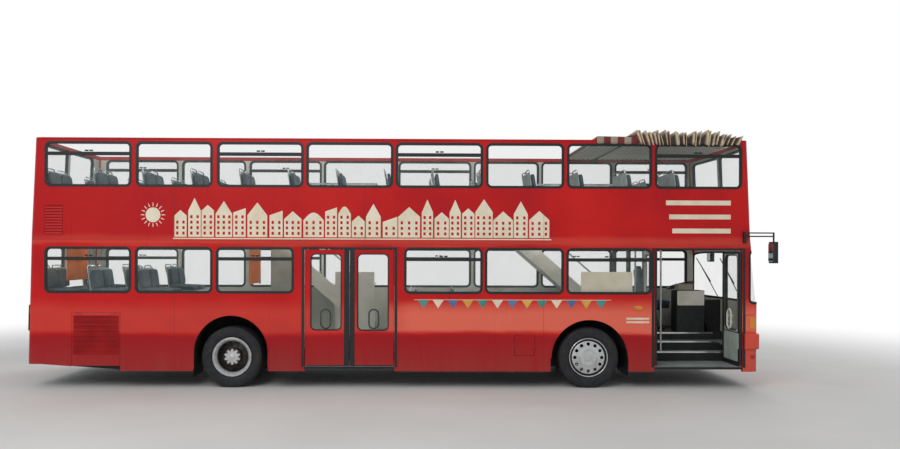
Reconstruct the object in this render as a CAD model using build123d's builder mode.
# Open-top double-deck city bus used for sightseeing, with its canvas roof folded to the front.
# X runs forward, Y to the vehicle's left, Z up, in millimetres.
# The origin is on the ground under the middle of the whole outline, mirrors included.

import os

from build123d import *

os.makedirs("parts", exist_ok=True)

# Body shell
half_width = 1250
wall = 50
skirt_z = 270
joint_z = 2260
top_z = 3900
rear_seam_x = -5637
front_seam_x = 5311
front_corner = 70
rear_corner = 100
front_bow = 55
rear_bow = 30
# Length of the body at four heights: height, rear plane x, front plane x
body_stations = [
    (skirt_z, -5862, 5546),
    (1340, -5839, 5550),
    (2380, -5817, 5443),
    (top_z, -5752, 5381),
]
# Underside of the rear overhang: x where it starts to rise, its height there, and at the tail
overhang_x = -4435
overhang_z = 290
tail_x = -5900
tail_z = 393

# Side windows, outer edge of each gasket
lower_sill = 1477
lower_head = 2205
upper_sill = 3134
upper_head = 3843
window_corner = 95
gasket_width = 40
gasket_depth = 38
gasket_proud = 3
glass_thick = 6
glass_inset = 12
transom_height = 52
lower_transom_z = 2018
upper_transom_z = 3652
# Each window bay: rear edge x, front edge x, has a sliding top light
upper_bays = [
    (-5592, -4241, True),
    (-4182, -2985, False),
    (-2923, -1572, True),
    (-1533, -173, False),
    (-137, 1231, True),
    (1274, 2503, False),
    (2542, 3883, False),
    (3922, 5300, True),
]
right_rear_bays = [
    (-5592, -4241, True),
    (-4193, -2982, False),
    (-2938, -1716, True),
]
right_middle_bays = [
    (-2, 1231, True),
    (1260, 2503, False),
    (2536, 3883, True),
]

# Doorways in the right side: rear jamb x, front jamb x
middle_door = (-1555, -151)
front_door = (3925, 5311)
door_head = 2186
leaf_bottom = 365
leaf_top = 2166
leaf_thick = 40
leaf_gap = 5
pivot_inset = 25
leaf_y = -1225
pivot_radius = 12
fit = 0.05
leaf_window_sill = 910
leaf_window_head = 2100
leaf_window_corner = 75
leaf_window_start = 72
leaf_window_end = 550

# Floors
floor_top = 650
floor_thick = 50
platform_top = 1050
platform_thick = 40
platform_front = -3340
tread_top = 345
tread_thick = 40
step_top = 500
well_depth = 540
step_depth = 335
riser_thick = 30
deck_top = 2450
deck_thick = 50
podium_top = 770

# Running gear
front_axle_x = 2907
rear_axle_x = -2696
axle_z = 479
tyre_width = 275
tyre_radius = 479
tyre_face_y = 1190
bead_radius = 286
rim_lip = 302
twin_gap = 45
front_arch_radius = 612
rear_arch_radius = 585
rear_arch_rise = 83
housing_sheet = 20
housing_inner_y = 560
kingpin_y = 900
kingpin_radius = 20
spindle_radius = 35
rail_y = 240
rail_width = 80
rail_bottom = 540
# Towing jaw behind a slot in the front mask
jaw_rear = 5390
jaw_front = 5545
jaw_pin_x = 5505
jaw_bottom = 440
jaw_height = 100
jaw_half = 60
jaw_slot = 30
jaw_pin_radius = 20

# Stairs
stair_rise = 225
stair_run = 260
stair_steps = 8
stair_sheet = 30
stair_inner_y = 560
stair_panel = 20
stair_skirt = 60
string_rise = 40
front_stair_x = 3870
rear_stair_x = -550
# Panels beside a flight: height and length beside its first treads, length of the cupboard under its head
foot_panel = (1130, 700)
rear_cupboard = 400

inner_y = half_width - wall
floor_bottom = floor_top - floor_thick
deck_bottom = deck_top - deck_thick


def band(x0, x1, z0, z1, corner=0, mode=Mode.ADD):
    """Rectangle in the current sketch, given by its four edges."""
    with Locations(((x0 + x1) / 2, (z0 + z1) / 2)):
        if corner:
            RectangleRounded(x1 - x0, z1 - z0, corner, mode=mode)
        else:
            Rectangle(x1 - x0, z1 - z0, mode=mode)


def brick(x0, x1, y0, y1, z0, z1, mode=Mode.ADD):
    """Box in the current part, given by its six faces."""
    with Locations(((x0 + x1) / 2, (y0 + y1) / 2, (z0 + z1) / 2)):
        Box(x1 - x0, y1 - y0, z1 - z0, mode=mode)


def write(builder, name):
    """Label a finished sub-part and write it as its own STEP file."""
    builder.part.label = name
    export_step(builder.part, "parts/" + name + ".step")


def body_block(inset):
    """Whole body as a solid block, its skin moved inwards by inset."""
    with BuildPart() as block:
        for z, rear_x, front_x in body_stations:
            side = half_width - inset
            rear = rear_x + inset
            front = front_x - inset
            with BuildSketch(Plane.XY.offset(z)) as plan:
                with BuildLine():
                    Line((rear, -side), (front, -side))
                    ThreePointArc((front, -side), (front + front_bow, 0), (front, side))
                    Line((front, side), (rear, side))
                    ThreePointArc((rear, side), (rear - rear_bow, 0), (rear, -side))
                make_face()
                fillet(plan.vertices().group_by(Axis.X)[-1], radius=front_corner - inset)
                fillet(plan.vertices().sort_by(Axis.X)[:2], radius=rear_corner - inset)
        loft(ruled=True)
    return block.part


def side_planes(start, depth):
    """Sketch planes from which an extrusion by depth ends start + depth from the middle."""
    return Plane.XZ.offset(start), Plane.XZ.offset(-start - depth)


def window_list(side):
    """Windows of the right (0) or left (1) side: rear x, front x, sill, head, top light height or 0."""
    rows = []
    for x0, x1, light in upper_bays:
        rows.append((x0, x1, upper_sill, upper_head, upper_transom_z * light))
    lower_bays = upper_bays if side else right_rear_bays + right_middle_bays
    for x0, x1, light in lower_bays:
        rows.append((x0, x1, lower_sill, lower_head, lower_transom_z * light))
    return rows


def sight(x0, x1, z0, z1, mode):
    """Clear opening inside one window's gasket, in the current sketch."""
    band(
        x0 + gasket_width,
        x1 - gasket_width,
        z0 + gasket_width,
        z1 - gasket_width,
        window_corner - gasket_width,
        mode,
    )


def top_light_rail(x0, x1, z, mode):
    """Rail under a sliding top light, in the current sketch."""
    band(
        x0 + gasket_width,
        x1 - gasket_width,
        z - transom_height / 2,
        z + transom_height / 2,
        mode=mode,
    )


outer_skin = body_block(0)
inner_skin = body_block(wall)
glass_outer = body_block(glass_inset)
glass_inner = body_block(glass_inset + glass_thick)
gasket_outer = body_block(-gasket_proud)
gasket_inner = body_block(gasket_depth - gasket_proud)
bumper_skin = body_block(-40)
lamp_skin = body_block(-8)
sign_skin = body_block(12)
lid_skin = body_block(20)
pocket_skin = body_block(25)


# Air intake of the engine bay on both upper sides: rear x, front x, bottom, top, and its blind slots
intake = (-5583, -5314, 2400, 2840)
intake_slots = 10
intake_depth = 20
# Ribbed field of the side hatch, and the open slots of the engine lid: inner y, outer y, bottom, top
hatch_field = (-5137, -4435, 528, 1137)
hatch_ribs = 14
rib_depth = 8
lid_slots = (60, 560, 620, 1140)
lid_slot_count = 9


def slots(x0, x1, z0, z1, count, share=0.5):
    """Row of level slots one above another, in the current sketch."""
    pitch = (z1 - z0) / count
    for k in range(count):
        band(x0, x1, z0 + k * pitch, z0 + (k + share) * pitch)


# Right upper side with the headers over both doorways and their pivot sockets
with BuildPart() as right_upper_side:
    with BuildSketch(Plane.XZ.offset(inner_y)):
        band(rear_seam_x, front_seam_x, joint_z, top_z)
        for rear_jamb, front_jamb in (middle_door, front_door):
            band(rear_jamb, front_jamb, door_head, joint_z)
        for x0, x1, light in upper_bays:
            band(x0, x1, upper_sill, upper_head, window_corner, Mode.SUBTRACT)
    extrude(amount=wall)
    with BuildSketch(Plane.XZ.offset(half_width - intake_depth)):
        slots(*intake, intake_slots)
    extrude(amount=intake_depth, mode=Mode.SUBTRACT)
    for rear_jamb, front_jamb in (middle_door, front_door):
        for x in (rear_jamb + pivot_inset, front_jamb - pivot_inset):
            with Locations((x, leaf_y, door_head + 8)):
                Cylinder(pivot_radius + fit, 16, mode=Mode.SUBTRACT)
write(right_upper_side, "right_upper_side")

with BuildPart() as left_upper_side:
    with BuildSketch(Plane.XZ.offset(-half_width)):
        band(rear_seam_x, front_seam_x, joint_z, top_z)
        for x0, x1, light in upper_bays:
            band(x0, x1, upper_sill, upper_head, window_corner, Mode.SUBTRACT)
    extrude(amount=wall)
    with BuildSketch(Plane.XZ.offset(-half_width)):
        slots(*intake, intake_slots)
    extrude(amount=intake_depth, mode=Mode.SUBTRACT)
write(left_upper_side, "left_upper_side")

# Side hatch over the engine bay, its pocket and the clear hole behind it
hatch = (-5159, -4419, 350, 1174)
hatch_margin = 50
# Filler flap behind the front wheel
flap = (1730, 2042, 522, 834)
pocket_depth = 30
lid_thick = 20
lid_gap = 5

# Right lower side behind the middle doorway
with BuildPart() as right_rear_side:
    with BuildSketch(Plane.XZ.offset(inner_y)):
        band(rear_seam_x, middle_door[0], skirt_z, joint_z)
        for x0, x1, light in right_rear_bays:
            band(x0, x1, lower_sill, lower_head, window_corner, Mode.SUBTRACT)
        with Locations((rear_axle_x, axle_z + rear_arch_rise)):
            Circle(rear_arch_radius, mode=Mode.SUBTRACT)
        band(
            rear_axle_x - rear_arch_radius,
            rear_axle_x + rear_arch_radius,
            skirt_z,
            axle_z + rear_arch_rise,
            mode=Mode.SUBTRACT,
        )
        with BuildLine():
            Polyline((overhang_x, 200), (overhang_x, overhang_z), (tail_x, tail_z), (tail_x, 200), close=True)
        make_face(mode=Mode.SUBTRACT)
        band(
            hatch[0] + hatch_margin,
            hatch[1] - hatch_margin,
            hatch[2] + hatch_margin,
            platform_top - platform_thick - 10,
            mode=Mode.SUBTRACT,
        )
    extrude(amount=wall)
    with BuildSketch(Plane.XZ.offset(half_width - pocket_depth)):
        band(hatch[0] - lid_gap, hatch[1] + lid_gap, 200, hatch[3] + lid_gap)
    extrude(amount=pocket_depth, mode=Mode.SUBTRACT)
write(right_rear_side, "right_rear_side")

# Right lower side between the doorways
with BuildPart() as right_middle_side:
    with BuildSketch(Plane.XZ.offset(inner_y)):
        band(middle_door[1], front_door[0], skirt_z, joint_z)
        for x0, x1, light in right_middle_bays:
            band(x0, x1, lower_sill, lower_head, window_corner, Mode.SUBTRACT)
        with Locations((front_axle_x, axle_z)):
            Circle(front_arch_radius, mode=Mode.SUBTRACT)
        band(
            front_axle_x - front_arch_radius,
            front_axle_x + front_arch_radius,
            skirt_z,
            axle_z,
            mode=Mode.SUBTRACT,
        )
    extrude(amount=wall)
    with BuildSketch(Plane.XZ.offset(half_width - pocket_depth)):
        band(flap[0] - lid_gap, flap[1] + lid_gap, flap[2] - lid_gap, flap[3] + lid_gap)
    extrude(amount=pocket_depth, mode=Mode.SUBTRACT)
write(right_middle_side, "right_middle_side")

# Left lower side, unbroken from seam to seam
with BuildPart() as left_lower_side:
    with BuildSketch(Plane.XZ.offset(-half_width)):
        band(rear_seam_x, front_seam_x, skirt_z, joint_z)
        for x0, x1, light in upper_bays:
            band(x0, x1, lower_sill, lower_head, window_corner, Mode.SUBTRACT)
        with Locations((rear_axle_x, axle_z + rear_arch_rise)):
            Circle(rear_arch_radius, mode=Mode.SUBTRACT)
        band(
            rear_axle_x - rear_arch_radius,
            rear_axle_x + rear_arch_radius,
            skirt_z,
            axle_z + rear_arch_rise,
            mode=Mode.SUBTRACT,
        )
        with Locations((front_axle_x, axle_z)):
            Circle(front_arch_radius, mode=Mode.SUBTRACT)
        band(
            front_axle_x - front_arch_radius,
            front_axle_x + front_arch_radius,
            skirt_z,
            axle_z,
            mode=Mode.SUBTRACT,
        )
        with BuildLine():
            Polyline((overhang_x, 200), (overhang_x, overhang_z), (tail_x, tail_z), (tail_x, 200), close=True)
        make_face(mode=Mode.SUBTRACT)
    extrude(amount=wall)
write(left_lower_side, "left_lower_side")

# Front: wrap-round windscreen opening and the two upper panes
screen_rear_x = 5404
screen_sill = 1330
screen_head = 2170
upper_front_sill = 2960
upper_front_head = 3800
upper_front_inner = 25
upper_front_outer = 1130
rear_pane_inner = 25
rear_pane_outer = 980
bumper_bottom = 620
bumper_top = 870
bumper_round = 28


def screen_cutter(inset):
    """Prism through the whole width that cuts the wrap-round windscreen."""
    with BuildPart() as cutter:
        with BuildSketch(Plane.XZ.offset(-1400)):
            band(
                screen_rear_x + inset,
                screen_rear_x + 700 + inset,
                screen_sill + inset,
                screen_head - inset,
                80 - inset,
            )
        extrude(amount=2800)
    return cutter.part


def end_cutter(x0, length, inner, outer, sill, head, inset):
    """Pair of prisms along X that cut two panes side by side in an end of the body."""
    with BuildPart() as cutter:
        with BuildSketch(Plane.YZ.offset(x0)):
            for side in (-1, 1):
                edges = sorted((side * (inner + inset), side * (outer - inset)))
                band(edges[0], edges[1], sill + inset, head - inset, 90 - inset)
        extrude(amount=length)
    return cutter.part


screen_hole = screen_cutter(0)
screen_sight = screen_cutter(35)
upper_front_edges = (upper_front_inner, upper_front_outer, upper_front_sill, upper_front_head)
upper_front_hole = end_cutter(5320, 300, *upper_front_edges, 0)
upper_front_sight = end_cutter(5320, 300, *upper_front_edges, 35)
rear_lower_hole = end_cutter(-6000, 350, rear_pane_inner, rear_pane_outer, lower_sill, lower_head, 0)
rear_lower_sight = end_cutter(-6000, 350, rear_pane_inner, rear_pane_outer, lower_sill, lower_head, 35)
rear_upper_hole = end_cutter(-6000, 350, rear_pane_inner, rear_pane_outer, upper_sill, upper_head, 0)
rear_upper_sight = end_cutter(-6000, 350, rear_pane_inner, rear_pane_outer, upper_sill, upper_head, 35)

with BuildPart() as front_mask:
    add(outer_skin)
    add(inner_skin, mode=Mode.SUBTRACT)
    brick(front_seam_x, 5800, -1300, 1300, skirt_z, joint_z, Mode.INTERSECT)
    add(screen_hole, mode=Mode.SUBTRACT)
    brick(5500, 5800, -110, 110, jaw_bottom - 20, jaw_bottom + jaw_height + 20, Mode.SUBTRACT)
write(front_mask, "front_mask")

with BuildPart() as front_bumper:
    add(bumper_skin)
    add(outer_skin, mode=Mode.SUBTRACT)
    brick(front_seam_x + 30, 5800, -1300, 1300, bumper_bottom, bumper_top, Mode.INTERSECT)
    rim = [
        edge
        for edge in front_bumper.edges()
        if abs(edge.tangent_at(0.5).Z) < 0.5
        and edge.center().X > front_seam_x + 90
        and (abs(edge.center().Y) > half_width + 5 or edge.center().X > front_seam_x + 310)
    ]
    fillet(rim, radius=bumper_round)
write(front_bumper, "front_bumper")

# Recess of the destination sign: half width, bottom, top
sign_half = 620
sign_bottom = 2340
sign_top = 2640
with BuildPart() as sign_recess:
    brick(5300, 5700, -sign_half, sign_half, sign_bottom, sign_top)
    add(sign_skin, mode=Mode.SUBTRACT)

with BuildPart() as front_upper:
    add(outer_skin)
    add(inner_skin, mode=Mode.SUBTRACT)
    brick(front_seam_x, 5800, -1300, 1300, joint_z, top_z, Mode.INTERSECT)
    add(upper_front_hole, mode=Mode.SUBTRACT)
    add(sign_recess.part, mode=Mode.SUBTRACT)
write(front_upper, "front_upper")

# Rear: engine lid below the lower panes, plain wall with two panes above
lid_half = 700
lid_bottom = 520
lid_top = 1300
with BuildPart() as lid_pocket:
    brick(-6100, -5700, -lid_half - lid_gap, lid_half + lid_gap, lid_bottom - lid_gap, lid_top + lid_gap)
    add(pocket_skin, mode=Mode.SUBTRACT)

with BuildPart() as rear_lower:
    add(outer_skin)
    add(inner_skin, mode=Mode.SUBTRACT)
    brick(-6100, rear_seam_x, -1300, 1300, skirt_z, joint_z, Mode.INTERSECT)
    add(rear_lower_hole, mode=Mode.SUBTRACT)
    brick(-6100, rear_seam_x, -1300, 1300, 100, 375, Mode.SUBTRACT)
    add(lid_pocket.part, mode=Mode.SUBTRACT)
    brick(-6100, -5700, -lid_half + 60, lid_half - 60, lid_bottom + 60, platform_top - 60, Mode.SUBTRACT)
write(rear_lower, "rear_lower")

with BuildPart() as engine_lid:
    add(outer_skin)
    add(lid_skin, mode=Mode.SUBTRACT)
    brick(-6100, -5700, -lid_half, lid_half, lid_bottom, lid_top, Mode.INTERSECT)
    with BuildSketch(Plane.YZ.offset(-6100)):
        for inner, outer in ((lid_slots[0], lid_slots[1]), (-lid_slots[1], -lid_slots[0])):
            slots(inner, outer, lid_slots[2], lid_slots[3], lid_slot_count, 0.45)
    extrude(amount=400, mode=Mode.SUBTRACT)
write(engine_lid, "engine_lid")

with BuildPart() as rear_upper:
    add(outer_skin)
    add(inner_skin, mode=Mode.SUBTRACT)
    brick(-6100, rear_seam_x, -1300, 1300, joint_z, top_z, Mode.INTERSECT)
    add(rear_upper_hole, mode=Mode.SUBTRACT)
write(rear_upper, "rear_upper")

with BuildPart() as side_hatch:
    with BuildSketch(Plane.XZ.offset(half_width - lid_thick)):
        band(hatch[0], hatch[1], hatch[2], hatch[3], 12)
    extrude(amount=lid_thick)
    with BuildSketch(Plane.XZ.offset(half_width - rib_depth)):
        slots(*hatch_field, hatch_ribs)
    extrude(amount=rib_depth, mode=Mode.SUBTRACT)
write(side_hatch, "side_hatch")

with BuildPart() as filler_flap:
    with BuildSketch(Plane.XZ.offset(half_width - lid_thick)):
        band(flap[0], flap[1], flap[2], flap[3], 12)
    extrude(amount=lid_thick)
write(filler_flap, "filler_flap")

# Black rubber round every fixed pane
gasket_planes = side_planes(half_width + gasket_proud - gasket_depth, gasket_depth)
with BuildPart() as window_gaskets:
    for side in (0, 1):
        with BuildSketch(gasket_planes[side]):
            for x0, x1, z0, z1, light in window_list(side):
                band(x0, x1, z0, z1, window_corner)
                sight(x0, x1, z0, z1, Mode.SUBTRACT)
                if light:
                    top_light_rail(x0, x1, light, Mode.ADD)
        extrude(amount=gasket_depth)
write(window_gaskets, "window_gaskets")

with BuildPart() as end_gaskets:
    add(screen_hole)
    add(upper_front_hole)
    add(rear_lower_hole)
    add(rear_upper_hole)
    add(screen_sight, mode=Mode.SUBTRACT)
    add(upper_front_sight, mode=Mode.SUBTRACT)
    add(rear_lower_sight, mode=Mode.SUBTRACT)
    add(rear_upper_sight, mode=Mode.SUBTRACT)
    add(gasket_outer, mode=Mode.INTERSECT)
    add(gasket_inner, mode=Mode.SUBTRACT)
write(end_gaskets, "end_gaskets")

# Glass, one node for each run of wall
glass_planes = side_planes(half_width - glass_inset - glass_thick, glass_thick)

# Each run of glass: name, side, lowest sill height, rear x, front x
glass_runs = [
    ("left_glass", 1, 0, rear_seam_x, front_seam_x),
    ("right_upper_glass", 0, upper_sill, rear_seam_x, front_seam_x),
    ("right_rear_glass", 0, 0, rear_seam_x, middle_door[0]),
    ("right_middle_glass", 0, 0, middle_door[1], front_door[0]),
]
for name, side, lowest, rear_x, front_x in glass_runs:
    with BuildPart() as side_glass:
        with BuildSketch(glass_planes[side]):
            for x0, x1, z0, z1, light in window_list(side):
                inside = x0 > rear_x and x1 < front_x and z0 >= lowest
                if inside and (side == 1 or lowest or z0 == lower_sill):
                    sight(x0, x1, z0, z1, Mode.ADD)
                    if light:
                        top_light_rail(x0, x1, light, Mode.SUBTRACT)
        extrude(amount=glass_thick)
    write(side_glass, name)

with BuildPart() as windscreen:
    add(glass_outer)
    add(glass_inner, mode=Mode.SUBTRACT)
    add(screen_sight, mode=Mode.INTERSECT)
write(windscreen, "windscreen")

with BuildPart() as upper_front_glass:
    add(glass_outer)
    add(glass_inner, mode=Mode.SUBTRACT)
    add(upper_front_sight, mode=Mode.INTERSECT)
write(upper_front_glass, "upper_front_glass")

with BuildPart() as rear_sights:
    add(rear_lower_sight)
    add(rear_upper_sight)

with BuildPart() as rear_glass:
    add(glass_outer)
    add(glass_inner, mode=Mode.SUBTRACT)
    add(rear_sights.part, mode=Mode.INTERSECT)
write(rear_glass, "rear_glass")

# Lamp lenses standing a little proud of the ends
with BuildPart() as lamp_zone:
    for side in (-1, 1):
        headlamp = sorted((side * 690, side * 1120))
        brick(5500, 5800, headlamp[0], headlamp[1], 930, 1120)
        corner_lamp = sorted((side * 1205, side * 1300))
        brick(5425, 5520, corner_lamp[0], corner_lamp[1], 950, 1120)
        tail_lamp = sorted((side * 960, side * 1190))
        brick(-6000, -5830, tail_lamp[0], tail_lamp[1], 900, 1280)

with BuildPart() as lamps:
    add(lamp_skin)
    add(outer_skin, mode=Mode.SUBTRACT)
    add(lamp_zone.part, mode=Mode.INTERSECT)
write(lamps, "lamps")

# Wheel housings, an arched sheet with an inner wall at each wheel
# Each housing: axle x, arch radius, rise of the arch centre above the axle
housing_table = [
    (front_axle_x, front_arch_radius, 0),
    (rear_axle_x, rear_arch_radius, rear_arch_rise),
]
liner_bottom = 330
with BuildPart() as housing_block:
    for x, radius, rise in housing_table:
        for start in (housing_inner_y, -inner_y):
            with BuildSketch(Plane.XZ.offset(start)):
                with Locations((x, axle_z + rise)):
                    Circle(radius + housing_sheet)
                band(x - 900, x + 900, -600, floor_bottom, mode=Mode.SUBTRACT)
            extrude(amount=inner_y - housing_inner_y)

with BuildPart() as wheel_housings:
    add(housing_block.part)
    for x, radius, rise in housing_table:
        for start in (housing_inner_y + housing_sheet, -inner_y):
            with BuildSketch(Plane.XZ.offset(start)):
                with Locations((x, axle_z + rise)):
                    Circle(radius)
            extrude(amount=inner_y - housing_inner_y - housing_sheet, mode=Mode.SUBTRACT)
    for y in (-inner_y, housing_inner_y):
        for x in (rear_axle_x - rear_arch_radius - housing_sheet, rear_axle_x + rear_arch_radius):
            brick(x, x + housing_sheet, y, y + inner_y - housing_inner_y, liner_bottom, floor_bottom)
write(wheel_housings, "wheel_housings")

# Lower deck floor, raised over the engine bay
with BuildPart() as lower_floor:
    brick(platform_front, 5700, -1400, 1400, floor_bottom, floor_top)
    brick(-6000, platform_front, -1400, 1400, platform_top - platform_thick, platform_top)
    brick(platform_front, platform_front + 30, -1400, 1400, floor_top, platform_top)
    add(inner_skin, mode=Mode.INTERSECT)
    add(housing_block.part, mode=Mode.SUBTRACT)
    for rear_jamb, front_jamb in (middle_door, front_door):
        brick(rear_jamb, front_jamb, -1400, -step_depth + riser_thick, 500, 700, Mode.SUBTRACT)
write(lower_floor, "lower_floor")

# Entrance wells, a low tread as deep as a leaf is wide and one step up
with BuildPart() as entrance_steps:
    for rear_jamb, front_jamb in (middle_door, front_door):
        with BuildSketch(Plane.YZ.offset(rear_jamb)):
            with BuildLine():
                Polyline(
                    (-half_width + 5, tread_top - tread_thick),
                    (-half_width + 5, tread_top),
                    (-well_depth, tread_top),
                    (-well_depth, step_top),
                    (-step_depth, step_top),
                    (-step_depth, floor_top),
                    (-step_depth + riser_thick, floor_top),
                    (-step_depth + riser_thick, step_top - tread_thick),
                    (-well_depth + riser_thick, step_top - tread_thick),
                    (-well_depth + riser_thick, tread_top - tread_thick),
                    close=True,
                )
            make_face()
        extrude(amount=front_jamb - rear_jamb)
        for x in (rear_jamb - 20, front_jamb):
            brick(x, x + 20, -inner_y, -step_depth + riser_thick, tread_top - tread_thick, floor_bottom)
        for x in (rear_jamb + pivot_inset, front_jamb - pivot_inset):
            with Locations((x, leaf_y, tread_top - 8)):
                Cylinder(pivot_radius + fit, 16, mode=Mode.SUBTRACT)
write(entrance_steps, "entrance_steps")

# Upper deck with its two stairwells
stair_length = stair_run * (stair_steps - 1) + stair_sheet
stair_slope = stair_rise / stair_run
with BuildPart() as upper_floor:
    brick(-6000, 5700, -1400, 1400, deck_bottom, deck_top)
    add(inner_skin, mode=Mode.INTERSECT)
    for x in (front_stair_x, rear_stair_x):
        brick(x - stair_length, x, stair_inner_y - stair_panel, 1300, 2300, 2500, Mode.SUBTRACT)
write(upper_floor, "upper_floor")


def flight_z(distance):
    """Height of the line through the feet of a flight's risers, at a distance back from the first."""
    return floor_top + stair_slope * distance


def stair_outline(x0):
    """Side view of a folded stair, from its first riser to the upper deck."""
    points = []
    for k in range(stair_steps):
        points.append((x0 - k * stair_run, floor_top + k * stair_rise))
        points.append((x0 - k * stair_run, floor_top + (k + 1) * stair_rise))
    x_end = x0 - stair_length
    points.append((x_end, deck_top))
    points.append((x_end, flight_z(stair_length) - stair_skirt))
    points.append((x0 - stair_skirt / stair_slope, floor_top))
    return points


def string_outline(x0, cupboard):
    """Side view of the string and the panels on a flight's open side."""
    height, length = foot_panel
    over = stair_rise + string_rise
    points = [
        (x0, floor_top),
        (x0, floor_top + height),
        (x0 - length, floor_top + height),
        (x0 - length, flight_z(length) + over),
        (x0 - (deck_top - floor_top - over) / stair_slope, deck_top),
        (x0 - stair_length, deck_top),
    ]
    if cupboard:
        inner = stair_length - cupboard
        points += [(x0 - stair_length, floor_top), (x0 - inner, floor_top)]
        points.append((x0 - inner, flight_z(inner) - stair_skirt))
    else:
        points.append((x0 - stair_length, flight_z(stair_length) - stair_skirt))
    points += [(x0 - length, flight_z(length) - stair_skirt), (x0 - length, floor_top)]
    return points


with BuildPart() as stairs:
    for x, cupboard in ((front_stair_x, 0), (rear_stair_x, rear_cupboard)):
        with BuildSketch(Plane.XZ.offset(-inner_y)):
            with BuildLine():
                Polyline(*stair_outline(x), close=True)
            make_face()
        extrude(amount=inner_y - stair_inner_y)
        with BuildSketch(Plane.XZ.offset(-stair_inner_y)):
            with BuildLine():
                Polyline(*string_outline(x, cupboard), close=True)
            make_face()
        extrude(amount=stair_panel)
write(stairs, "stairs")

# Seats in pairs: back plane x, floor height, side, for each deck
seat_width = 405
seat_gap = 20
pair_y = 755
lower_rows = [
    (180, floor_top, (-1, 1)),
    (930, floor_top, (-1, 1)),
    (1680, floor_top, (-1,)),
    (-4150, platform_top, (-1, 1)),
    (-4900, platform_top, (-1, 1)),
    (-5640, platform_top, (-1, 1)),
]
row_pitch = 760
first_row = -5560
left_gaps = (4, 5, 6, 10, 11, 12)
heel_z = 400
crease = (60, 478)
# Side view of a cushion, forward of the heel and above the floor
cushion_side = [(0, heel_z), (420, 385), (440, 405), (440, 445), (420, 458), crease]
pedestal_half = 60
pedestal_side = [(120, 0), (320, 0), (320, 388.57), (120, 395.71)]
upper_back = 960
lower_back = 820
face_lean = 0.186
shell_lean = 0.136


def back_side(height):
    """Side view of a seat back that ends at a height above the floor."""
    face_x = crease[0] - face_lean * (height - 20 - crease[1])
    shell_x = -shell_lean * (height - 15 - heel_z)
    return [
        (0, heel_z),
        crease,
        (face_x, height - 20),
        (face_x - 14, height),
        (shell_x + 10, height),
        (shell_x, height - 15),
    ]


def seat_piece(outline, rows, start, width):
    """One outline at every row, each its own solid, extruded across a seat from start."""
    pieces = []
    for x, floor_z in rows:
        with BuildPart() as piece:
            with BuildSketch(Plane.XZ.offset(-start - width)):
                with BuildLine():
                    Polyline(*[(x + u, floor_z + v) for u, v in outline], close=True)
                make_face()
            extrude(amount=width)
        pieces.append(piece.part.solid())
    return pieces


def seat_block(side, rows, height):
    """All seats of one side of a deck, forward facing; rows gives (back x, floor height)."""
    pieces = seat_piece(pedestal_side, rows, side * pair_y - pedestal_half, 2 * pedestal_half)
    for k in (-1, 1):
        start = side * pair_y + k * (seat_width + seat_gap) / 2 - seat_width / 2
        pieces += seat_piece(cushion_side, rows, start, seat_width)
        pieces += seat_piece(back_side(height), rows, start, seat_width)
    return pieces


lower_right_rows = [(x, z) for x, z, sides in lower_rows if -1 in sides]
lower_left_rows = [(x, z) for x, z, sides in lower_rows if 1 in sides]
upper_right_rows = [(first_row + k * row_pitch, deck_top) for k in range(14)]
upper_left_rows = [(first_row + k * row_pitch, deck_top) for k in range(14) if k not in left_gaps]

# Cushions, backs and pedestals stay separate solids that meet face to face
for name, right_rows, left_rows, height in (
    ("lower_seats", lower_right_rows, lower_left_rows, lower_back),
    ("upper_seats", upper_right_rows, upper_left_rows, upper_back),
):
    solids = seat_block(-1, right_rows, height) + seat_block(1, left_rows, height)
    export_step(Compound(label=name, children=solids), "parts/" + name + ".step")

# Driver's place
podium_y = -60
with BuildPart() as cab:
    brick(3925, 5700, podium_y, 1400, floor_top, podium_top)
    brick(3885, 3925, 100, 1400, floor_top, deck_bottom)
    brick(3885, 3925, 250, 1050, 1500, 2200, Mode.SUBTRACT)
    with BuildSketch(Plane.XZ.offset(-1400)):
        with BuildLine():
            Polyline((5700, podium_top), (5700, 1320), (5330, 1320), (5090, 1190), (5060, 1080), (5250, 1000),
                     (5330, podium_top), close=True)
        make_face()
    extrude(amount=1150)
    brick(4678, 5153, podium_y, 240, podium_top, 1490)
    add(inner_skin, mode=Mode.INTERSECT)
write(cab, "cab")

with BuildPart() as driver_seat:
    brick(4300, 4700, 500, 800, podium_top, 1130)
    brick(4260, 4740, 420, 880, 1130, 1240)
    brick(4190, 4280, 430, 870, 1240, 1900)
write(driver_seat, "driver_seat")

with BuildPart() as wheel_ring:
    with BuildSketch(Plane.XZ):
        with Locations((235, 0)):
            RegularPolygon(14, 10)
    revolve(axis=Axis.Z)

wheel_centre = Vector(4985, 650, 1555)
wheel_tilt = 15
with BuildPart() as steering_wheel:
    with Locations(Location(wheel_centre, (0, -wheel_tilt, 0))):
        add(wheel_ring.part)
        Cylinder(45, 40)
        with PolarLocations(120, 3):
            Box(240, 26, 14)
    with Locations(Location(wheel_centre, (0, -wheel_tilt, 0))):
        Cylinder(30, 420, align=(Align.CENTER, Align.CENTER, Align.MAX))
    add(cab.part, mode=Mode.SUBTRACT)
write(steering_wheel, "steering_wheel")

# Grab poles and stairwell guards
pole = 16
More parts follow.
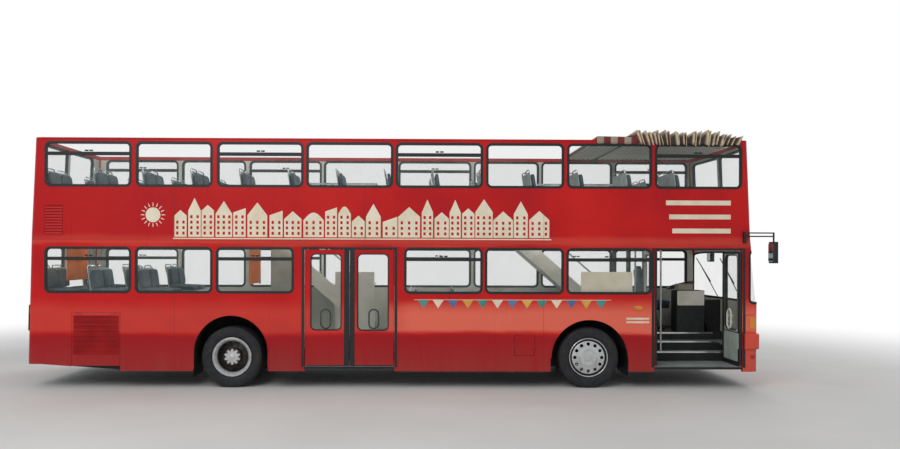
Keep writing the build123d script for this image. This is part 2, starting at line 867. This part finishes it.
# Lower deck poles: x, y, foot height
pole_table = [
    (-1610, -440, floor_top),
    (-90, -440, floor_top),
    (4280, -435, step_top),
    (3850, -440, floor_top),
]
guard_height = 900
with BuildPart() as handrails:
    for x, y, foot in pole_table:
        with Locations((x, y, foot)):
            Cylinder(pole, deck_bottom - foot, align=(Align.CENTER, Align.CENTER, Align.MIN))
    for x in (front_stair_x, rear_stair_x):
        guard_y = stair_inner_y - stair_panel - 30
        guard_x = x + 30
        rail_z = deck_top + guard_height
        for px, py in ((guard_x, 1150), (guard_x, guard_y), (x - 750, guard_y), (x - 1500, guard_y)):
            with Locations((px, py, deck_top)):
                Cylinder(pole, guard_height, align=(Align.CENTER, Align.CENTER, Align.MIN))
        brick(x - 1500 - pole, guard_x + pole, guard_y - pole, guard_y + pole, rail_z - pole, rail_z + pole)
        brick(guard_x - pole, guard_x + pole, guard_y - pole, 1150 + pole, rail_z - pole, rail_z + pole)
write(handrails, "handrails")

# Tank of the fuel behind its flap and box of the batteries: rear x, front x, bottom, corner radius
fuel_tank = (1350, 2150, 300, 70)
battery_box = (250, 900, 330, 10)
tank_inner = 560
tank_outer = 1060
hanger_bottom = 560
air_tank_x = 1400
air_tank_z = 400
air_tank_radius = 110
air_tank_length = 700

# Ladder frame under the floor with the tanks and the battery box on its outriggers
with BuildPart() as chassis_frame:
    for y in (-rail_y, rail_y):
        brick(-4450, 5400, y - rail_width / 2, y + rail_width / 2, rail_bottom, floor_bottom)
    for x in (-4400, -3300, -2200, -1000, 200, 1400, 2400, 3400, 4400, 5350):
        brick(x - 40, x + 40, -rail_y, rail_y, rail_bottom, floor_bottom)
    for start, (x0, x1, bottom, corner) in ((-tank_outer, fuel_tank), (tank_inner, battery_box)):
        with BuildSketch(Plane.YZ.offset(x0)):
            band(start, start + tank_outer - tank_inner, bottom, hanger_bottom, corner)
        extrude(amount=x1 - x0)
        for x in (x0 + 100, x1 - 100):
            edges = sorted((start, start + tank_outer - tank_inner, rail_y if start > 0 else -rail_y))
            brick(x - 30, x + 30, edges[0], edges[-1], hanger_bottom, floor_bottom)
    with Locations(Location((air_tank_x, 0, air_tank_z), (0, 90, 0))):
        Cylinder(air_tank_radius, air_tank_length)
    brick(air_tank_x - 40, air_tank_x + 40, -60, 60, air_tank_z, rail_bottom)
write(chassis_frame, "chassis_frame")

# Towing jaw, forked for the eye of a towing bar and bored for its pin
with BuildPart() as tow_jaw:
    brick(jaw_rear, jaw_front, -jaw_half, jaw_half, jaw_bottom, jaw_bottom + jaw_height)
    brick(jaw_rear, jaw_rear + 40, -jaw_half, jaw_half, jaw_bottom, floor_bottom)
    slot_bottom = jaw_bottom + (jaw_height - jaw_slot) / 2
    brick(jaw_pin_x - 50, jaw_front, -jaw_half, jaw_half, slot_bottom, slot_bottom + jaw_slot, Mode.SUBTRACT)
    with Locations((jaw_pin_x, 0, jaw_bottom + jaw_height / 2)):
        Cylinder(jaw_pin_radius, jaw_height, mode=Mode.SUBTRACT)
write(tow_jaw, "tow_jaw")

# Engine with its sump, gearbox, and the shaft to the final drive: x ends, then half sections as (y, z)
sump_x = (-5450, -4750)
sump_half = [(230, 300), (280, 350), (280, 480)]
gearbox_x = (-4460, -3700)
gearbox_half = [(110, 215), (190, 310), (190, 500), (150, 530)]
tail_x = (-3710, -3420)
tail_radius = 110
shaft_radius = 40
with BuildPart() as engine_block:
    brick(-5600, -4450, -430, 430, 470, platform_top - platform_thick)
    for (x0, x1), half in ((sump_x, sump_half), (gearbox_x, gearbox_half)):
        with BuildSketch(Plane.YZ.offset(x0)):
            with BuildLine():
                Polyline(*half, *[(-y, z) for y, z in reversed(half)], close=True)
            make_face()
        extrude(amount=x1 - x0)
    with Locations(Location((tail_x[0], 0, axle_z - 59), (0, 90, 0))):
        Cylinder(tail_radius, tail_x[1] - tail_x[0], align=(Align.CENTER, Align.CENTER, Align.MIN))
    with Locations(Location((tail_x[1], 0, axle_z), (0, 90, 0))):
        Cylinder(shaft_radius, rear_axle_x - 170 - tail_x[1], align=(Align.CENTER, Align.CENTER, Align.MIN))
write(engine_block, "engine_block")

# Front axle: dropped beam with a kingpin eye at each end and two air springs
eye_half = 49
with BuildPart() as front_axle:
    with BuildSketch(Plane.YZ.offset(front_axle_x - 45)):
        with BuildLine():
            Polyline(
                (-kingpin_y, axle_z + eye_half),
                (-kingpin_y, axle_z - eye_half),
                (-820, axle_z - eye_half),
                (-640, 300),
                (640, 300),
                (820, axle_z - eye_half),
                (kingpin_y, axle_z - eye_half),
                (kingpin_y, axle_z + eye_half),
                (740, axle_z + eye_half - 20),
                (610, 385),
                (-610, 385),
                (-740, axle_z + eye_half - 20),
                close=True,
            )
        make_face()
    extrude(amount=90)
    for y in (-kingpin_y, kingpin_y):
        with Locations((front_axle_x, y, axle_z)):
            Cylinder(45, 2 * eye_half)
            Cylinder(kingpin_radius + fit, 2 * eye_half, mode=Mode.SUBTRACT)
    for y in (-470, 470):
        with Locations((front_axle_x, y, 385)):
            Cylinder(90, floor_bottom - 385, align=(Align.CENTER, Align.CENTER, Align.MIN))
write(front_axle, "front_axle")

# Rear axle: tube with the final drive in the middle and a stub for each pair of wheels
with BuildPart() as rear_axle:
    with Locations(Location((rear_axle_x, 0, axle_z), (90, 0, 0))):
        Cylinder(55, 1140)
        Cylinder(spindle_radius, 2260)
    with Locations((rear_axle_x, 0, axle_z)):
        Sphere(170)
    brick(rear_axle_x - 200, rear_axle_x + 200, -200, 200, rail_bottom, 800, Mode.SUBTRACT)
    for y in (-440, 440):
        brick(rear_axle_x - 350, rear_axle_x + 350, y - 40, y + 40, axle_z - 115, axle_z - 55)
        brick(rear_axle_x - 60, rear_axle_x + 60, y - 60, y + 60, axle_z - 60, axle_z)
        for x in (rear_axle_x - 270, rear_axle_x + 270):
            with Locations((x, y, axle_z - 55)):
                Cylinder(80, floor_bottom - axle_z + 55, align=(Align.CENTER, Align.CENTER, Align.MIN))
write(rear_axle, "rear_axle")

# Steering knuckles, one for each side
for side, label in ((-1, "right"), (1, "left")):
    with BuildPart() as knuckle:
        for z in (axle_z - eye_half - 5 - 40, axle_z + eye_half + 5):
            with Locations((front_axle_x, side * kingpin_y, z)):
                Cylinder(45, 40, align=(Align.CENTER, Align.CENTER, Align.MIN))
            web = sorted((side * kingpin_y, side * (kingpin_y + 80)))
            brick(front_axle_x - 45, front_axle_x + 45, web[0], web[1], z, z + 40)
        with Locations((front_axle_x, side * kingpin_y, axle_z)):
            Cylinder(kingpin_radius, 2 * eye_half + 30)
        plate = sorted((side * (kingpin_y + 52), side * (kingpin_y + 80)))
        brick(
            front_axle_x - 45,
            front_axle_x + 45,
            plate[0],
            plate[1],
            axle_z - eye_half - 45,
            axle_z + eye_half + 45,
        )
        with Locations(Location((front_axle_x, side * (kingpin_y + 70), axle_z), (-90 * side, 0, 0))):
            Cylinder(spindle_radius, 180, align=(Align.CENTER, Align.CENTER, Align.MIN))
    write(knuckle, "knuckle_" + label)


def revolve_wheel(outline, side, axle_x):
    """Ring about a wheel's axis; outline gives (distance inward from the tyre's face, radius)."""
    points = [(side * (tyre_face_y - u), axle_z + r) for u, r in outline]
    with BuildPart() as ring:
        with BuildSketch(Plane.YZ.offset(axle_x)):
            with BuildLine():
                Polyline(*points, close=True)
            make_face()
        revolve(axis=Axis((axle_x, 0, axle_z), (0, 1, 0)))
    return ring.part


# Tyre section: distance inward from the tyre's outer face, radius
tyre_section = [
    (30, bead_radius),
    (30, rim_lip + 8),
    (0, 400),
    (30, tyre_radius),
    (tyre_width - 30, tyre_radius),
    (tyre_width, 400),
    (tyre_width - 30, rim_lip + 8),
    (tyre_width - 30, bead_radius),
]
# Rim section of a front wheel: flange, barrel, nearly flat disc and hub
front_rim_section = [
    (22, rim_lip),
    (30, rim_lip),
    (30, bead_radius),
    (tyre_width - 30, bead_radius),
    (tyre_width - 30, rim_lip),
    (tyre_width - 22, rim_lip),
    (tyre_width - 22, 262),
    (95, 250),
    (75, 150),
    (195, 150),
    (195, spindle_radius + fit),
    (8, spindle_radius + fit),
    (8, 130),
    (50, 170),
    (50, 262),
    (22, 276),
]
outer_rim_section = [
    (22, rim_lip),
    (30, rim_lip),
    (30, bead_radius),
    (tyre_width - 30, bead_radius),
    (tyre_width - 30, rim_lip),
    (tyre_width - 22, rim_lip),
    (tyre_width - 22, 262),
    (tyre_width - 10, 150),
    (tyre_width - 10, spindle_radius + fit),
    (60, spindle_radius + fit),
    (60, 95),
    (90, 130),
    (200, 135),
    (225, 240),
    (60, 250),
    (22, 276),
]
inner_rim_section = [
    (22, rim_lip),
    (30, rim_lip),
    (30, bead_radius),
    (tyre_width - 30, bead_radius),
    (tyre_width - 30, rim_lip),
    (tyre_width - 22, rim_lip),
    (tyre_width - 22, 262),
    (60, 262),
    (22, 262),
]

# Round holes in the disc of a front wheel: count, circle, radius
disc_holes = (12, 213, 25)
# Star-shaped cover on a rear hub: lobes, their circle and radius, body radius
star = (10, 104, 20, 98)
# Depths of its face and its back behind the face of the tyre
star_face = 40
star_back = 58


def face_plane(side, near, far):
    """Sketch plane across a wheel from which an extrusion spans the depths near to far behind the tyre's face."""
    return Plane.XZ.offset(tyre_face_y - far if side < 0 else near - tyre_face_y)


for side, label in ((-1, "right"), (1, "left")):
    with BuildPart() as front_tyre:
        add(revolve_wheel(tyre_section, side, front_axle_x))
    write(front_tyre, "front_tyre_" + label)
    with BuildPart() as front_rim:
        add(revolve_wheel(front_rim_section, side, front_axle_x))
        with BuildSketch(face_plane(side, 0, 120)):
            with Locations((front_axle_x, axle_z)):
                with PolarLocations(disc_holes[1], disc_holes[0], start_angle=90):
                    Circle(disc_holes[2])
        extrude(amount=120, mode=Mode.SUBTRACT)
    write(front_rim, "front_rim_" + label)
    shift = tyre_width + twin_gap
    with BuildPart() as rear_tyres:
        add(revolve_wheel(tyre_section, side, rear_axle_x))
        add(revolve_wheel([(u + shift, r) for u, r in tyre_section], side, rear_axle_x))
    write(rear_tyres, "rear_tyres_" + label)
    with BuildPart() as rear_rims:
        add(revolve_wheel(outer_rim_section, side, rear_axle_x))
        add(revolve_wheel([(u + shift, r) for u, r in inner_rim_section], side, rear_axle_x))
        add(
            revolve_wheel(
                [
                    (tyre_width - 22, 262),
                    (tyre_width - 22, spindle_radius + fit),
                    (shift + 60, spindle_radius + fit),
                    (shift + 60, 262),
                ],
                side,
                rear_axle_x,
            )
        )
        with BuildSketch(face_plane(side, star_face, star_back)):
            with Locations((rear_axle_x, axle_z)):
                Circle(star[3])
                with PolarLocations(star[1], star[0]):
                    Circle(star[2])
        extrude(amount=star_back - star_face)
        add(
            revolve_wheel(
                [(star_back, 45), (star_back, 90), (star_back + 4, 90), (star_back + 4, 45)],
                side,
                rear_axle_x,
            )
        )
    write(rear_rims, "rear_rims_" + label)


def leaf_length(doorway):
    """Reach of a leaf from its pivot to just short of the doorway's middle."""
    return (doorway[1] - doorway[0]) / 2 - pivot_inset - leaf_gap


# Door leaves: name, doorway, pivot x, direction of the leaf from its pivot
leaf_table = [
    ("middle_door_rear_leaf", middle_door, middle_door[0] + pivot_inset, (1, 0)),
    ("middle_door_front_leaf", middle_door, middle_door[1] - pivot_inset, (-1, 0)),
    ("front_door_rear_leaf", front_door, front_door[0] + pivot_inset, (0, 1)),
    ("front_door_front_leaf", front_door, front_door[1] - pivot_inset, (0, 1)),
]
for name, doorway, pivot_x, direction in leaf_table:
    reach = leaf_length(doorway)
    along = (direction[0], direction[1], 0)
    flat = Plane(origin=(pivot_x, leaf_y, leaf_bottom), x_dir=along, z_dir=(0, 0, 1))
    upright = Plane(origin=(pivot_x, leaf_y, 0), x_dir=along, z_dir=(direction[1], -direction[0], 0))
    with BuildPart() as leaf:
        with BuildSketch(flat):
            Circle(leaf_thick / 2)
            band(0, reach, -leaf_thick / 2, leaf_thick / 2)
        extrude(amount=leaf_top - leaf_bottom)
        with BuildSketch(upright):
            band(leaf_window_start, leaf_window_end, leaf_window_sill, leaf_window_head, leaf_window_corner)
        extrude(amount=leaf_thick, both=True, mode=Mode.SUBTRACT)
        for foot in (tread_top - 15, leaf_top):
            with Locations((pivot_x, leaf_y, foot)):
                reach = door_head + 15 - leaf_top
                Cylinder(pivot_radius, reach, align=(Align.CENTER, Align.CENTER, Align.MIN))
    write(leaf, name)
    with BuildPart() as leaf_pane:
        with BuildSketch(upright):
            band(leaf_window_start, leaf_window_end, leaf_window_sill, leaf_window_head, leaf_window_corner)
        extrude(amount=glass_thick / 2, both=True)
    write(leaf_pane, name + "_glass")

# Mirrors on forward arms at both front corners
with BuildPart() as mirrors:
    for side in (-1, 1):
        y = side * 1290
        bracket = sorted((side * half_width, side * 1300))
        brick(5313, 5350, bracket[0], bracket[1], 2290, 2470)
        for z in (2395, 2448):
            brick(5350, 5790, y - 10, y + 10, z - 10, z + 10)
        brick(5770, 5790, y - 10, y + 10, 2300, 2458)
        with BuildSketch(Plane.XY.offset(1975)):
            band(5735, 5820, y - 95, y + 95, 32)
        extrude(amount=335)
write(mirrors, "mirrors")

# Guide rails and bows of the folding roof, and the folded canvas on them
roof_rear = 2980
roof_front = 5300
guide_height = 12
bow_height = 30
with BuildPart() as roof_frame:
    for y in (-1225, 1225):
        brick(roof_rear, roof_front, y - 18, y + 18, top_z, top_z + guide_height)
    for x in (3015, 3452):
        brick(x - 20, x + 20, -1243, 1243, top_z + guide_height, top_z + guide_height + bow_height)
write(roof_frame, "roof_frame")

pleats = 16
pleat_rear = 3640
pleat_front = 5290
pleat_base = top_z + guide_height
pleat_valley = 3965
pleat_peak = 4090
pleat_lean = 40
pleat_drop = 80
canvas_half = 1270
drape_thick = 14
drape_bottom = 3830
# Flat strip of canvas behind the folds: rear x, upper face at its rear and front end
flat_rear = 2985
flat_top = (3962, 3985)
bow_top = top_z + guide_height + bow_height
with BuildPart() as folded_roof:
    with BuildSketch(Plane.XZ.offset(-canvas_half)):
        pitch = (pleat_front - pleat_rear - pleat_lean) / pleats
        outline = [
            (pleat_rear, pleat_base),
            (pleat_rear, bow_top),
            (flat_rear, bow_top),
            (flat_rear, flat_top[0]),
            (pleat_rear - 1, flat_top[1]),
        ]
        for k in range(pleats):
            peak = pleat_peak - pleat_drop * (k / pleats) ** 2
            outline.append((pleat_rear + k * pitch, pleat_valley + 25))
            outline.append((pleat_rear + (k + 0.5) * pitch + pleat_lean, peak))
        outline.append((pleat_front, pleat_valley))
        outline.append((pleat_front, pleat_base))
        with BuildLine():
            Polyline(*outline, close=True)
        make_face()
    extrude(amount=2 * canvas_half)

# The drapes over both sides stay separate solids under the folds
with BuildPart() as drapes:
    for y in (-canvas_half, canvas_half - drape_thick):
        brick(pleat_rear, pleat_front, y, y + drape_thick, drape_bottom, pleat_base)
canvas = Compound(label="folded_roof", children=folded_roof.part.solids() + drapes.part.solids())
export_step(canvas, "parts/folded_roof.step")
